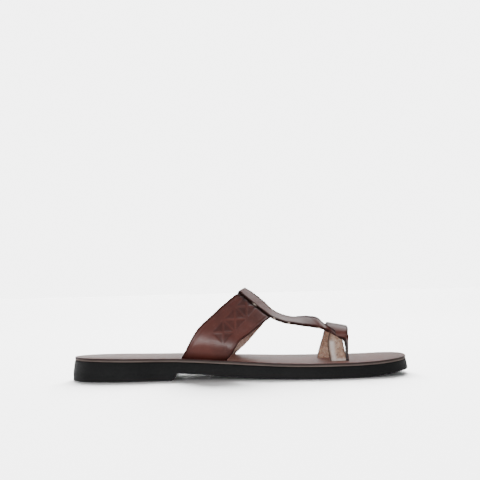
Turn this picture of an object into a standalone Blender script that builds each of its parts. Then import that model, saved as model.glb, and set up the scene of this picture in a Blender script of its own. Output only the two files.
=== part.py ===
"""Toe ring sandal, left shoe, standing empty on its sole.

The frame is metres with +Z up. +X runs from the heel to the toe, +Y from the inner
(medial) side to the outer (lateral) side, and the origin is under the middle of the sole's
length and width. The upper and the heel lie about the shoe's own middle line, MIDDLE_LINE.
A leather insole lies on a rubber outsole with a low heel block. The upper is one leather
solid: a broad band over the instep, a strap that is lapped over its crown and runs forward,
and a ring for the big toe. The ends of the leather go down through slits in the insole.
"""
import math

import bmesh
import bpy
from mathutils import Matrix, Vector

MM = 0.001

# Sole
SOLE_LENGTH = 280 * MM
BALL_WIDTH = 102 * MM
HEEL_WIDTH = 65 * MM
INSOLE_THICKNESS = 2.8 * MM
OUTSOLE_THICKNESS = 9.2 * MM
HEEL_BLOCK_HEIGHT = 7.0 * MM
HEEL_SEAT_FALL = 2.0 * MM
HEEL_BLOCK_LENGTH = 88.5 * MM
HEEL_BREAST_SLOPE = 31
HEEL_BREAST_ROUND = 5 * MM
BREAST_STEPS = 4
TOE_SPRING = 3.0 * MM
TOE_THINNING = 1.4 * MM
INSOLE_INSET = 1.6 * MM
SIDE_LEAN = 1.3 * MM
TREAD_BEVEL = 0.8 * MM
OUTLINE_STEPS = 6
PIECE_GAP = 0.3 * MM

# Upper
LEATHER = 2.2 * MM
SLIT_CLEARANCE = 0.3 * MM
SLIT_CUT_DEPTH = 17 * MM
SLIT_INSET = 4.1 * MM
LAP = 2.0 * MM
BAND_REAR_FOOT = 92.2 * MM
BAND_FOOT_LENGTH = 37.0 * MM
BAND_REAR_REACH = 52.6 * MM
BAND_FRONT_REACH = 38 * MM
BAND_REAR_HEIGHT = 55.6 * MM
BAND_FRONT_HEIGHT = 37.1 * MM
BAND_ROUND = 1.2 * MM
STRAP_WIDTH = 17 * MM
STRAP_DROP = 8.5 * MM
STRAP_CAMBER = 0.4 * MM
RING_REAR = 213 * MM
RING_BAND = 17 * MM
RING_TO_MEDIAL = 3 * MM
RING_WIDTH = 34.4 * MM
RING_HEIGHT = 31 * MM
SHEET_COLUMNS = 6
ROW_STEPS = 3

# Outline of the sole, once round from the back of the heel by the medial side.
# along: share of SOLE_LENGTH. heel, ball: shares of HEEL_WIDTH and BALL_WIDTH, medial negative.
OUTLINE = (
    # along, heel, ball
    (0.000, 0.000, 0.000),
    (0.020, -0.240, 0.000),
    (0.075, -0.410, 0.000),
    (0.170, -0.490, 0.000),
    (0.300, -0.460, 0.000),
    (0.440, -0.240, -0.160),
    (0.580, 0.000, -0.380),
    (0.715, 0.000, -0.440),
    (0.830, 0.000, -0.425),
    (0.910, 0.000, -0.380),
    (0.964, 0.000, -0.290),
    (0.992, 0.000, -0.150),
    (1.000, 0.000, 0.030),
    (0.991, 0.000, 0.205),
    (0.958, 0.000, 0.365),
    (0.895, 0.000, 0.475),
    (0.800, 0.000, 0.540),
    (0.680, 0.000, 0.560),
    (0.540, 0.000, 0.510),
    (0.400, 0.300, 0.220),
    (0.270, 0.530, 0.000),
    (0.160, 0.505, 0.000),
    (0.070, 0.415, 0.000),
    (0.020, 0.240, 0.000),
)

# Height of the sole's underside above the floor, forward of the heel block.
# ahead: share of the length in front of the heel block. heel: share of the heel's lift.
# toe: share of TOE_SPRING. tread: share of TOE_THINNING, which lifts the tread alone.
SOLE_RISE = (
    # ahead, heel, toe, tread
    (0.00, 1.00, 0.00, 0.00),
    (0.06, 0.90, 0.00, 0.00),
    (0.18, 0.62, 0.00, 0.00),
    (0.30, 0.35, 0.00, 0.00),
    (0.42, 0.13, 0.00, 0.00),
    (0.50, 0.03, 0.00, 0.00),
    (0.56, 0.00, 0.00, 0.00),
    (0.76, 0.00, 0.00, 0.00),
    (0.85, 0.00, 0.22, 0.50),
    (0.93, 0.00, 0.60, 0.90),
    (1.00, 0.00, 1.00, 1.00),
)

# The band over the instep, from its medial foot to its lateral foot.
# foot: share of the foot's distance from the middle line. crown: share of STRAP_WIDTH.
# reach and climb: shares of the reach and height of the band's rear and front edges.
# round: share of BAND_ROUND by which the row bows up between its edges.
BAND_ROWS = (
    # foot, crown, rear_reach, rear_climb, front_reach, front_climb, round
    (-1.00, 0.00, 0.000, 0.000, 0.000, 0.000, 0.0),
    (-1.24, 0.00, 0.070, 0.112, 0.120, 0.150, 0.0),
    (-1.33, 0.00, 0.160, 0.272, 0.210, 0.310, 0.0),
    (-1.27, 0.00, 0.275, 0.440, 0.330, 0.470, 0.0),
    (-1.08, 0.00, 0.440, 0.585, 0.540, 0.610, 0.0),
    (-0.78, 0.00, 0.655, 0.762, 0.775, 0.780, 0.0),
    (-0.20, -0.48, 0.850, 0.905, 0.930, 0.885, 0.0),
    (-0.02, -0.50, 0.912, 0.942, 0.965, 0.905, -0.5),
    (0.00, -0.05, 0.975, 0.972, 0.980, 0.985, 0.2),
    (0.00, 0.36, 1.005, 0.980, 0.990, 1.062, 1.3),
    (0.20, 0.42, 0.970, 0.945, 0.980, 0.985, 1.2),
    (0.66, 0.00, 0.800, 0.800, 0.870, 0.780, 0.0),
    (0.90, 0.00, 0.600, 0.610, 0.700, 0.580, 0.0),
    (1.06, 0.00, 0.400, 0.400, 0.540, 0.390, 0.0),
    (1.11, 0.00, 0.210, 0.200, 0.370, 0.200, 0.0),
    (1.08, 0.00, 0.110, 0.090, 0.250, 0.080, 0.0),
    (1.00, 0.00, 0.060, 0.000, 0.170, 0.000, 0.0),
)
CROWN_ROWS = (7, 9)

# Shares of the band's width, from its rear edge, at which the lapped strap has a row
LAP_SHARES = (0.02, 0.25, 0.5, 0.75, 1.0)

# The strap forward of the band, by its lateral (far) and medial (near) edges.
# along: share of the way from the band to the ring. side: share of STRAP_WIDTH.
# drop: share of STRAP_DROP, taken down from the strap's height at the band.
STRAP_ROWS = (
    # along, far_side, far_drop, near_side, near_drop
    (0.12, 0.35, 0.450, -0.60, 0.400),
    (0.28, 0.24, 0.800, -0.65, 0.705),
    (0.42, 0.09, 0.930, -0.74, 0.830),
    (0.56, -0.03, 0.880, -0.80, 0.990),
    (0.70, -0.18, 0.890, -0.88, 1.130),
    (0.84, -0.41, 1.050, -1.00, 1.260),
    (0.95, -0.70, 1.620, -1.12, 1.460),
    (1.04, -1.08, 1.960, -1.21, 1.730),
    (1.12, -1.22, 2.330, -1.25, 2.100),
)

# The toe ring, from its narrow medial leg over the toe to its lateral leg.
# reach: share of RING_BAND from RING_REAR. side: share of half of RING_WIDTH from the ring's
# middle, which lies RING_TO_MEDIAL from the shoe's middle line.
# climb: share of RING_HEIGHT above the insole.
RING_ROWS = (
    # rear_reach, rear_side, rear_climb, front_reach, front_side, front_climb
    (0.94, -1.20, 0.000, 0.99, -0.72, 0.000),
    (0.93, -1.20, 0.170, 0.98, -0.72, 0.170),
    (0.90, -1.17, 0.360, 0.99, -0.74, 0.360),
    (0.84, -1.12, 0.520, 0.99, -0.82, 0.520),
    (0.70, -1.06, 0.610, 0.98, -0.92, 0.600),
    (0.36, -1.02, 0.655, 0.97, -1.00, 0.660),
    (0.05, -0.98, 0.750, 0.95, -0.98, 0.720),
    (-0.12, -0.87, 0.830, 0.97, -0.87, 0.780),
    (-0.08, -0.68, 0.920, 0.99, -0.68, 0.840),
    (-0.03, -0.40, 0.985, 1.00, -0.40, 0.890),
    (0.00, 0.00, 1.010, 1.01, 0.00, 0.905),
    (0.00, 0.36, 0.960, 1.00, 0.36, 0.870),
    (-0.01, 0.64, 0.870, 0.98, 0.64, 0.790),
    (-0.05, 0.86, 0.740, 0.93, 0.86, 0.670),
    (-0.13, 0.97, 0.560, 0.86, 0.97, 0.520),
    (-0.27, 1.00, 0.320, 0.74, 1.00, 0.310),
    (-0.37, 1.00, 0.140, 0.64, 1.00, 0.140),
    (-0.43, 1.00, 0.000, 0.57, 1.00, 0.000),
)

# The tongue inside the ring's medial side, from its foot up to where the ring covers it.
TONGUE_ROWS = (
    # rear_reach, front_reach, side, climb
    (0.06, 0.86, -1.030, 0.000),
    (0.00, 0.81, -1.015, 0.180),
    (-0.04, 0.74, -0.975, 0.370),
    (-0.03, 0.70, -0.930, 0.540),
    (0.02, 0.68, -0.890, 0.660),
    (0.08, 0.66, -0.860, 0.740),
    (0.12, 0.64, -0.800, 0.800),
)

# Derived heights and places
HEEL_LIFT = HEEL_BLOCK_HEIGHT + PIECE_GAP
INSOLE_UNDER = OUTSOLE_THICKNESS + PIECE_GAP
INSOLE_TOP = INSOLE_UNDER + INSOLE_THICKNESS
HEEL_BACK = -SOLE_LENGTH / 2
HEEL_BREAST = HEEL_BACK + HEEL_BLOCK_LENGTH


def clear_scene():
    for item in list(bpy.data.objects):
        bpy.data.objects.remove(item, do_unlink=True)


def new_collection(name):
    group = bpy.data.collections.new(name)
    bpy.context.scene.collection.children.link(group)
    return group


def new_object(name, group, bm):
    mesh = bpy.data.meshes.new(name)
    bm.to_mesh(mesh)
    bm.free()
    item = bpy.data.objects.new(name, mesh)
    group.objects.link(item)
    return item


def as_cutter(item):
    item.hide_render = True
    item.display_type = "WIRE"
    return item


def colour_object(item, name, colour, roughness):
    material = bpy.data.materials.new(name)
    material.use_nodes = True
    shader = material.node_tree.nodes["Principled BSDF"]
    shader.inputs["Base Color"].default_value = (*colour, 1.0)
    shader.inputs["Roughness"].default_value = roughness
    shader.inputs["Metallic"].default_value = 0.0
    item.data.materials.append(material)


def mix(low, high, share):
    return low + (high - low) * share


def spline_point(before, start, end, after, t):
    """Catmull-Rom point between start and end, column by column."""
    return [0.5 * (2 * b + (c - a) * t + (2 * a - 5 * b + 4 * c - d) * t * t
                   + (3 * b - a - 3 * c + d) * t ** 3)
            for a, b, c, d in zip(before, start, end, after)]


def smooth_rows(rows, steps):
    """Rows of an open table, with steps points from each row to the next."""
    last = len(rows) - 1
    out = []
    for i in range(last):
        around = [rows[min(max(i + k, 0), last)] for k in (-1, 0, 1, 2)]
        out += [spline_point(*around, s / steps) for s in range(steps)]
    return out + [list(rows[last])]


def smooth_loop(rows, steps):
    count = len(rows)
    out = []
    for i in range(count):
        around = [rows[(i + k) % count] for k in (-1, 0, 1, 2)]
        out += [spline_point(*around, s / steps) for s in range(steps)]
    return out


def table_value(table, column, along):
    """Straight-line value of one column of a table at a share of its first column."""
    for low, high in zip(table, table[1:]):
        if along <= high[0]:
            share = max(0.0, (along - low[0]) / (high[0] - low[0]))
            return mix(low[column], high[column], share)
    return table[-1][column]


def share_ahead(x):
    """Share of the length in front of the heel block that lies behind x."""
    return (x - HEEL_BREAST) / (SOLE_LENGTH - HEEL_BLOCK_LENGTH)


def seat_fall_at(x):
    """Fall of the heel seat from the back of the heel to the breast, and no further."""
    return HEEL_SEAT_FALL * min(1.0, (x - HEEL_BACK) / HEEL_BLOCK_LENGTH)


def rise_at(x):
    """Height by which the sole's curve lifts it above the floor."""
    ahead = share_ahead(x)
    lift = HEEL_LIFT - seat_fall_at(x)
    return table_value(SOLE_RISE, 1, ahead) * lift + table_value(SOLE_RISE, 2, ahead) * TOE_SPRING


def thinning_at(x):
    return table_value(SOLE_RISE, 3, share_ahead(x)) * TOE_THINNING


def insole_top(x):
    return rise_at(x) + INSOLE_TOP


def middle_line():
    """Y of the shoe's middle line, which puts the sole's two sides equally far from the origin."""
    sides = [h * HEEL_WIDTH + b * BALL_WIDTH for _along, h, b in smooth_loop(OUTLINE, OUTLINE_STEPS)]
    return -(min(sides) + max(sides)) / 2


MIDDLE_LINE = middle_line()


def sole_outline(offset):
    """Points once round the sole, moved outwards by offset."""
    loop = [Vector((HEEL_BACK + a * SOLE_LENGTH, MIDDLE_LINE + h * HEEL_WIDTH + b * BALL_WIDTH))
            for a, h, b in smooth_loop(OUTLINE, OUTLINE_STEPS)]
    out = []
    for i, point in enumerate(loop):
        ahead = (loop[(i + 1) % len(loop)] - loop[i - 1]).normalized()
        out.append(point + Vector((ahead.y, -ahead.x)) * offset)
    return out


def side_at(x, side):
    """Y of the insole's edge at x, on the medial (-1) or lateral (+1) side."""
    loop = sole_outline(-INSOLE_INSET)
    crossings = [mix(a.y, b.y, (x - a.x) / (b.x - a.x))
                 for a, b in zip(loop, loop[1:] + loop[:1])
                 if a.x != b.x and min(a.x, b.x) <= x <= max(a.x, b.x)]
    return max(crossings) if side > 0 else min(crossings)


def slab(rings):
    """Closed solid through rings of the same count, each given as outline points and a height."""
    bm = bmesh.new()
    loops = [[bm.verts.new((p.x, p.y, height)) for p in outline] for outline, height in rings]
    for low, high in zip(loops, loops[1:]):
        for i in range(len(low)):
            bm.faces.new((low[i - 1], low[i], high[i], high[i - 1]))
    bm.faces.new(reversed(loops[0]))
    bm.faces.new(loops[-1])
    return bm


def bend_to_sole(bm):
    """Cuts a flat slab at the stations of SOLE_RISE and lifts it onto the sole's curve."""
    for row in SOLE_RISE[:-1]:
        station = mix(HEEL_BREAST, HEEL_BACK + SOLE_LENGTH, row[0])
        everything = bm.verts[:] + bm.edges[:] + bm.faces[:]
        bmesh.ops.bisect_plane(bm, geom=everything, dist=1e-7, plane_no=(1, 0, 0),
                               plane_co=(station, 0, 0))
    for vert in bm.verts:
        depth = max(0.0, 1 - vert.co.z / OUTSOLE_THICKNESS)
        vert.co.z += rise_at(vert.co.x) + thinning_at(vert.co.x) * depth


def make_outsole(group):
    """Rubber sole that leans out towards the floor, its lower rim eased ahead of the heel block."""
    side = sole_outline(0.0)
    tread = [outer if outer.x < HEEL_BREAST else eased
             for outer, eased in zip(side, sole_outline(-TREAD_BEVEL))]
    bm = slab([(tread, 0.0), (side, TREAD_BEVEL), (sole_outline(-SIDE_LEAN), OUTSOLE_THICKNESS)])
    bend_to_sole(bm)
    item = new_object("outsole", group, bm)
    colour_object(item, "black rubber", (0.018, 0.017, 0.018), 0.7)


def trim(bm, point, normal):
    """Cuts away what lies beyond a plane and closes the cut."""
    everything = bm.verts[:] + bm.edges[:] + bm.faces[:]
    cut = bmesh.ops.bisect_plane(bm, geom=everything, dist=1e-7, plane_co=point,
                                 plane_no=normal, clear_outer=True)
    edges = [e for e in cut["geom_cut"] if isinstance(e, bmesh.types.BMEdge)]
    bmesh.ops.contextual_create(bm, geom=edges)


def make_heel_block(group):
    """Low rubber block under the heel, with a sloping front that is rounded at the floor."""
    bm = slab([(sole_outline(0.0), 0.0), (sole_outline(0.0), HEEL_BLOCK_HEIGHT)])
    for vert in bm.verts:
        vert.co.z -= seat_fall_at(vert.co.x) * vert.co.z / HEEL_BLOCK_HEIGHT
    slope = math.radians(HEEL_BREAST_SLOPE)
    normal = Vector((math.cos(slope), 0, -math.sin(slope)))
    breast_height = HEEL_BLOCK_HEIGHT - HEEL_SEAT_FALL
    trim(bm, Vector((HEEL_BREAST, 0, breast_height)), normal)
    foot = HEEL_BREAST - breast_height * math.tan(slope)
    tangent = HEEL_BREAST_ROUND * math.tan((math.pi / 2 - slope) / 2)
    centre = Vector((foot - tangent, 0, HEEL_BREAST_ROUND))
    for step in range(1, BREAST_STEPS):
        turn = mix(slope, math.pi / 2, step / BREAST_STEPS)
        normal = Vector((math.cos(turn), 0, -math.sin(turn)))
        trim(bm, centre + normal * HEEL_BREAST_ROUND, normal)
    bmesh.ops.recalc_face_normals(bm, faces=bm.faces)
    item = new_object("heel_block", group, bm)
    colour_object(item, "black heel rubber", (0.018, 0.017, 0.018), 0.7)


def sheet(name, group, grid, thickness):
    """Leather sheet: an open grid of its outer face, thickened inwards."""
    bm = bmesh.new()
    verts = [[bm.verts.new(point) for point in row] for row in grid]
    for low, high in zip(verts, verts[1:]):
        for j in range(len(low) - 1):
            bm.faces.new((low[j], low[j + 1], high[j + 1], high[j]))
    item = new_object(name, group, bm)
    wall = item.modifiers.new("wall", "SOLIDIFY")
    wall.thickness = thickness
    wall.offset = -1
    wall.use_even_offset = True
    wall.use_quality_normals = True
    return item


def band_foot(side, share):
    """Point on the insole where the band's outer face goes in, share 0 rear to 1 front."""
    reach = BAND_ROWS[0] if side < 0 else BAND_ROWS[-1]
    rear = HEEL_BACK + BAND_REAR_FOOT + reach[2] * BAND_REAR_REACH
    front = HEEL_BACK + BAND_REAR_FOOT + BAND_FOOT_LENGTH + reach[4] * BAND_FRONT_REACH
    rear_y = side_at(rear, side) - side * SLIT_INSET
    front_y = side_at(front, side) - side * SLIT_INSET
    x = mix(rear, front, share)
    return Vector((x, mix(rear_y, front_y, share), insole_top(x)))


def band_point(row, share):
    """Point of the band's outer face on a row of BAND_ROWS, share 0 rear edge to 1 front edge."""
    foot, crown, rear_reach, rear_climb, front_reach, front_climb, bow = row
    side = -1 if foot + crown < 0 else 1
    base = band_foot(side, share)
    middle = (band_foot(-1, share).z + band_foot(1, share).z) / 2
    rear = HEEL_BACK + BAND_REAR_FOOT + rear_reach * BAND_REAR_REACH
    front = HEEL_BACK + BAND_REAR_FOOT + BAND_FOOT_LENGTH + front_reach * BAND_FRONT_REACH
    climb = mix(rear_climb * BAND_REAR_HEIGHT, front_climb * BAND_FRONT_HEIGHT, share)
    bulge = bow * BAND_ROUND * 4 * share * (1 - share)
    seat = mix(base.z, middle, min(1.0, rear_climb))
    y = MIDDLE_LINE + abs(foot) * (base.y - MIDDLE_LINE) + crown * STRAP_WIDTH
    return Vector((mix(rear, front, share), y, seat + climb + bulge))


def tail(row, depth=INSOLE_THICKNESS):
    """The row of a foot again, straight down through the insole."""
    return [point - Vector((0, 0, depth)) for point in row]


def make_band(group):
    shares = [j / SHEET_COLUMNS for j in range(SHEET_COLUMNS + 1)]
    grid = [[band_point(row, s) for s in shares] for row in smooth_rows(BAND_ROWS, ROW_STEPS)]
    return sheet("upper", group, [tail(grid[0])] + grid + [tail(grid[-1])], LEATHER)


def strap_over_band():
    """Rows of the strap where it is lapped on the band's crown, from the rear edge forward."""
    near, far = (BAND_ROWS[i] for i in CROWN_ROWS)
    top = BAND_ROWS[CROWN_ROWS[0] + 1]
    rows = []
    for share in LAP_SHARES:
        rows.append([band_point(row, share) + Vector((0, 0, LAP)) for row in (far, top, near)])
    return rows


def make_strap(group):
    lapped = strap_over_band()
    start = lapped[-1]
    span = HEEL_BACK + RING_REAR - start[1].x
    for along, far_side, far_drop, near_side, near_drop in STRAP_ROWS:
        x = start[1].x + along * span
        far = Vector((x, MIDDLE_LINE + far_side * STRAP_WIDTH, start[0].z - far_drop * STRAP_DROP))
        near = Vector((x, MIDDLE_LINE + near_side * STRAP_WIDTH, start[2].z - near_drop * STRAP_DROP))
        lapped.append([far, (far + near) / 2 + Vector((0, 0, STRAP_CAMBER)), near])
    flat = [[c for point in row for c in point] for row in lapped]
    grid = []
    for row in smooth_rows(flat, 2):
        far, top, near = (Vector(row[k:k + 3]) for k in (0, 3, 6))
        grid.append([far, (far + top) / 2, top, (top + near) / 2, near])
    return as_cutter(sheet("strap_layer", group, grid, LEATHER))


def ring_point(reach, side, climb):
    x = HEEL_BACK + RING_REAR + reach * RING_BAND
    y = MIDDLE_LINE - RING_TO_MEDIAL + side * RING_WIDTH / 2
    return Vector((x, y, insole_top(x) + climb * RING_HEIGHT))


def make_ring(group):
    shares = [j / SHEET_COLUMNS for j in range(SHEET_COLUMNS + 1)]
    grid = []
    for row in smooth_rows(RING_ROWS, 2):
        rear, front = ring_point(*row[:3]), ring_point(*row[3:])
        grid.append([rear.lerp(front, s) for s in shares])
    return as_cutter(sheet("ring_layer", group, [tail(grid[0])] + grid + [tail(grid[-1])], LEATHER))


def make_tongue(group):
    shares = [j / SHEET_COLUMNS for j in range(SHEET_COLUMNS + 1)]
    grid = []
    for rear_reach, front_reach, side, climb in smooth_rows(TONGUE_ROWS, 2):
        rear, front = ring_point(rear_reach, side, climb), ring_point(front_reach, side, climb)
        grid.append([rear.lerp(front, s) for s in shares])
    return as_cutter(sheet("tongue_layer", group, [tail(grid[0])] + grid, LEATHER))


def make_upper(group, cutters):
    """One leather solid: band, strap, ring and tongue joined where they cross."""
    band = make_band(group)
    for layer in (make_strap(cutters), make_ring(cutters), make_tongue(cutters)):
        join = band.modifiers.new("join " + layer.name, "BOOLEAN")
        join.operation = "UNION"
        join.object = layer
    colour_object(band, "brown leather", (0.14, 0.06, 0.05), 0.5)


def slit_cutter(name, group, start, end, inward):
    """Box round a strip's foot, whose outer face runs from start to end on the insole."""
    line = (end - start).to_2d()
    length = line.length + 2 * SLIT_CLEARANCE
    width = LEATHER + 2 * SLIT_CLEARANCE
    middle = (start + end) / 2 + Vector((-line.y, line.x, 0)).normalized() * inward * LEATHER / 2
    bm = bmesh.new()
    place = (Matrix.Translation(middle) @ Matrix.Rotation(math.atan2(line.y, line.x), 4, "Z")
             @ Matrix.Diagonal((length, width, SLIT_CUT_DEPTH, 1)))
    bmesh.ops.create_cube(bm, size=1, matrix=place)
    return as_cutter(new_object(name, group, bm))


def make_insole(group, cutters):
    """Leather insole with a slit for each foot of the upper."""
    outline = sole_outline(-INSOLE_INSET)
    bm = slab([(outline, INSOLE_UNDER), (outline, INSOLE_TOP)])
    bend_to_sole(bm)
    item = new_object("insole", group, bm)
    slits = [
        slit_cutter("slit_band_medial", cutters, band_foot(-1, 0), band_foot(-1, 1), 1),
        slit_cutter("slit_band_lateral", cutters, band_foot(1, 0), band_foot(1, 1), -1),
        slit_cutter("slit_ring_lateral", cutters, ring_point(*RING_ROWS[-1][:3]),
                    ring_point(*RING_ROWS[-1][3:]), -1),
        slit_cutter("slit_ring_medial", cutters, ring_point(*RING_ROWS[0][:3]),
                    ring_point(*RING_ROWS[0][3:]), 1),
        slit_cutter("slit_tongue", cutters,
                    ring_point(TONGUE_ROWS[0][0], TONGUE_ROWS[0][2], 0),
                    ring_point(TONGUE_ROWS[0][1], TONGUE_ROWS[0][2], 0), 1),
    ]
    for slit in slits:
        cut = item.modifiers.new("cut " + slit.name, "BOOLEAN")
        cut.operation = "DIFFERENCE"
        cut.object = slit
    colour_object(item, "brown insole leather", (0.20, 0.11, 0.09), 0.6)


def main():
    clear_scene()
    sandal = new_collection("toe_ring_sandal")
    cutters = new_collection("cutters")
    make_heel_block(sandal)
    make_outsole(sandal)
    make_insole(sandal, cutters)
    make_upper(sandal, cutters)


main()
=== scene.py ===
import math

import bpy
from mathutils import Matrix, Vector, noise


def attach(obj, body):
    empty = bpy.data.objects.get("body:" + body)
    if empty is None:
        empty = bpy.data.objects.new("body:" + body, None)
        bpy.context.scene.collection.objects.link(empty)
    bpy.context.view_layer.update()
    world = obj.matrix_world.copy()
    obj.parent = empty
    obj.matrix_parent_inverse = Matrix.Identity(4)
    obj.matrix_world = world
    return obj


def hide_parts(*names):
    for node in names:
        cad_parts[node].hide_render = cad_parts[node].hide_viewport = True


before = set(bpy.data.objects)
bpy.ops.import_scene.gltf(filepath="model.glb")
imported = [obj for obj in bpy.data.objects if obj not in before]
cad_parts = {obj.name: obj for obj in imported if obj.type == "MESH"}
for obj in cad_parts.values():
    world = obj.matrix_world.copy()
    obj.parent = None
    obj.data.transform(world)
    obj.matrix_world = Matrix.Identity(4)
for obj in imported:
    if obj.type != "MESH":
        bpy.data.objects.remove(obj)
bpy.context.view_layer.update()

bl_info = {
    "name": "Toe ring sandal",
    "version": (1, 0, 0),
    "blender": (4, 5, 0),
    "location": "3D View > Sidebar > Sandal",
    "description": "Dresses the CAD of a leather toe ring sandal and sets it in a pale studio",
    "category": "Object",
}

MM = 0.001

# Sizes of the CAD source
SOLE_LENGTH = 280 * MM
BALL_WIDTH = 102 * MM
HEEL_WIDTH = 65 * MM
INSOLE_THICKNESS = 2.8 * MM
OUTSOLE_THICKNESS = 9.2 * MM
HEEL_BLOCK_HEIGHT = 7.0 * MM
HEEL_SEAT_FALL = 2.0 * MM
HEEL_BLOCK_LENGTH = 88.5 * MM
HEEL_BREAST_SLOPE = 31
HEEL_BREAST_ROUND = 5 * MM
TOE_SPRING = 3.0 * MM
TOE_THINNING = 1.4 * MM
INSOLE_INSET = 1.6 * MM
SIDE_LEAN = 1.3 * MM
PIECE_GAP = 0.3 * MM
LEATHER = 2.2 * MM
SLIT_CLEARANCE = 0.3 * MM
SLIT_CUT_DEPTH = 17 * MM
SLIT_INSET = 4.1 * MM
LAP = 2.0 * MM
STRAP_PROUD = 0.2 * MM
BAND_REAR_FOOT = 92.2 * MM
BAND_FOOT_LENGTH = 37.0 * MM
BAND_REAR_REACH = 52.6 * MM
BAND_FRONT_REACH = 38 * MM
BAND_REAR_HEIGHT = 55.6 * MM
BAND_FRONT_HEIGHT = 37.1 * MM
BAND_ROUND = 1.2 * MM
STRAP_WIDTH = 17 * MM
STRAP_DROP = 8.5 * MM
STRAP_CAMBER = 0.4 * MM
RING_REAR = 213 * MM
RING_BAND = 17 * MM
RING_TO_MEDIAL = 3 * MM
RING_WIDTH = 34.4 * MM
RING_HEIGHT = 31 * MM

# Outline of the sole, once round from the back of the heel by the medial side
OUTLINE = (
    # along, heel, ball
    (0.000, 0.000, 0.000),
    (0.020, -0.240, 0.000),
    (0.075, -0.410, 0.000),
    (0.170, -0.490, 0.000),
    (0.300, -0.460, 0.000),
    (0.440, -0.240, -0.160),
    (0.580, 0.000, -0.380),
    (0.715, 0.000, -0.440),
    (0.830, 0.000, -0.425),
    (0.910, 0.000, -0.380),
    (0.964, 0.000, -0.290),
    (0.992, 0.000, -0.150),
    (1.000, 0.000, 0.030),
    (0.991, 0.000, 0.205),
    (0.958, 0.000, 0.365),
    (0.895, 0.000, 0.475),
    (0.800, 0.000, 0.540),
    (0.680, 0.000, 0.560),
    (0.540, 0.000, 0.510),
    (0.400, 0.300, 0.220),
    (0.270, 0.530, 0.000),
    (0.160, 0.505, 0.000),
    (0.070, 0.415, 0.000),
    (0.020, 0.240, 0.000),
)

# Lift of the sole forward of the heel block
SOLE_RISE = (
    # ahead, heel, toe, tread
    (0.00, 1.00, 0.00, 0.00),
    (0.06, 0.90, 0.00, 0.00),
    (0.18, 0.62, 0.00, 0.00),
    (0.30, 0.35, 0.00, 0.00),
    (0.42, 0.13, 0.00, 0.00),
    (0.50, 0.03, 0.00, 0.00),
    (0.56, 0.00, 0.00, 0.00),
    (0.76, 0.00, 0.00, 0.00),
    (0.85, 0.00, 0.22, 0.50),
    (0.93, 0.00, 0.60, 0.90),
    (1.00, 0.00, 1.00, 1.00),
)

# The band over the instep, from its medial foot to its lateral foot
BAND_ROWS = (
    # foot, crown, rear_reach, rear_climb, front_reach, front_climb, round
    (-1.00, 0.00, 0.000, 0.000, 0.000, 0.000, 0.0),
    (-1.24, 0.00, 0.070, 0.112, 0.120, 0.150, 0.0),
    (-1.33, 0.00, 0.160, 0.272, 0.210, 0.310, 0.0),
    (-1.27, 0.00, 0.275, 0.440, 0.330, 0.470, 0.0),
    (-1.08, 0.00, 0.440, 0.585, 0.540, 0.610, 0.0),
    (-0.78, 0.00, 0.655, 0.762, 0.775, 0.780, 0.0),
    (-0.20, -0.48, 0.850, 0.905, 0.930, 0.885, 0.0),
    (-0.02, -0.50, 0.912, 0.942, 0.965, 0.905, -0.5),
    (0.00, -0.05, 0.975, 0.972, 0.980, 0.985, 0.2),
    (0.00, 0.36, 1.005, 0.980, 0.990, 1.062, 1.3),
    (0.20, 0.42, 0.970, 0.945, 0.980, 0.985, 1.2),
    (0.66, 0.00, 0.800, 0.800, 0.870, 0.780, 0.0),
    (0.90, 0.00, 0.600, 0.610, 0.700, 0.580, 0.0),
    (1.06, 0.00, 0.400, 0.400, 0.540, 0.390, 0.0),
    (1.11, 0.00, 0.210, 0.200, 0.370, 0.200, 0.0),
    (1.08, 0.00, 0.110, 0.090, 0.250, 0.080, 0.0),
    (1.00, 0.00, 0.060, 0.000, 0.170, 0.000, 0.0),
)
CROWN_ROWS = (7, 9)
LAP_SHARES = (0.02, 0.25, 0.5, 0.75, 1.0)

# Rows of each foot's part that stands in the insole
TAIL_STEPS = 4

# The strap forward of the band, by its lateral (far) and medial (near) edges
STRAP_ROWS = (
    # along, far_side, far_drop, near_side, near_drop
    (0.12, 0.35, 0.450, -0.60, 0.400),
    (0.28, 0.24, 0.800, -0.65, 0.705),
    (0.42, 0.09, 0.930, -0.74, 0.830),
    (0.56, -0.03, 0.880, -0.80, 0.990),
    (0.70, -0.18, 0.890, -0.88, 1.130),
    (0.84, -0.41, 1.050, -1.00, 1.260),
    (0.95, -0.70, 1.620, -1.12, 1.460),
    (1.04, -1.08, 1.960, -1.21, 1.730),
    (1.12, -1.22, 2.330, -1.25, 2.100),
)

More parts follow.
